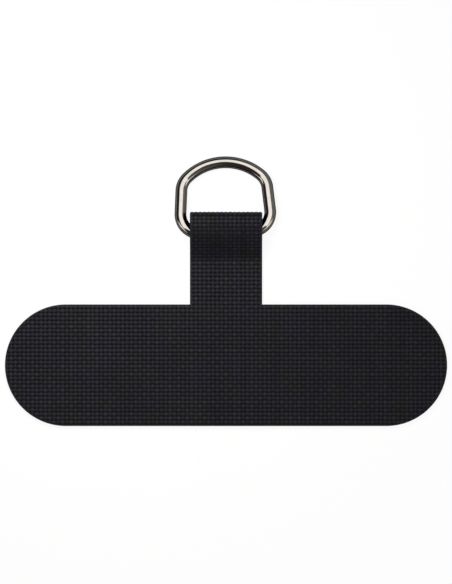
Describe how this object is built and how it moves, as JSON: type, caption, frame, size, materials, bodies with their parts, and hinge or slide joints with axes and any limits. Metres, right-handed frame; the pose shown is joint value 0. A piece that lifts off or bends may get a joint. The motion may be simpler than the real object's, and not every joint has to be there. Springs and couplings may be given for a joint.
{
  "type": "phone lanyard tether tab",
  "caption": "Flat fabric tether tab with a stadium-shaped pad, a folded strap loop and a metal D-ring for clipping on a phone lanyard.",
  "frame": {"origin": "middle of the pad's flat back face", "axes": "+X along the pad's length, +Y from the pad along the strap to the ring, +Z out of the pad's woven front"},
  "size_m": [0.06, 0.0365, 0.0037],
  "materials": {
    "woven_fabric": "matt coated plain weave, near black",
    "ring_metal": "polished nickel plate"
  },
  "bodies": {
    "tab": {"fabric_tab": "woven_fabric"},
    "ring": {"d_ring": "ring_metal"}
  },
  "joints": [
    {"name": "ring_swing", "type": "hinge", "parent": "tab", "child": "ring", "pos_m": [0, 0.01835, 0.0016], "axis": [0.9991, 0.0419, 0], "range_deg": [-150, 184]}
  ]
}
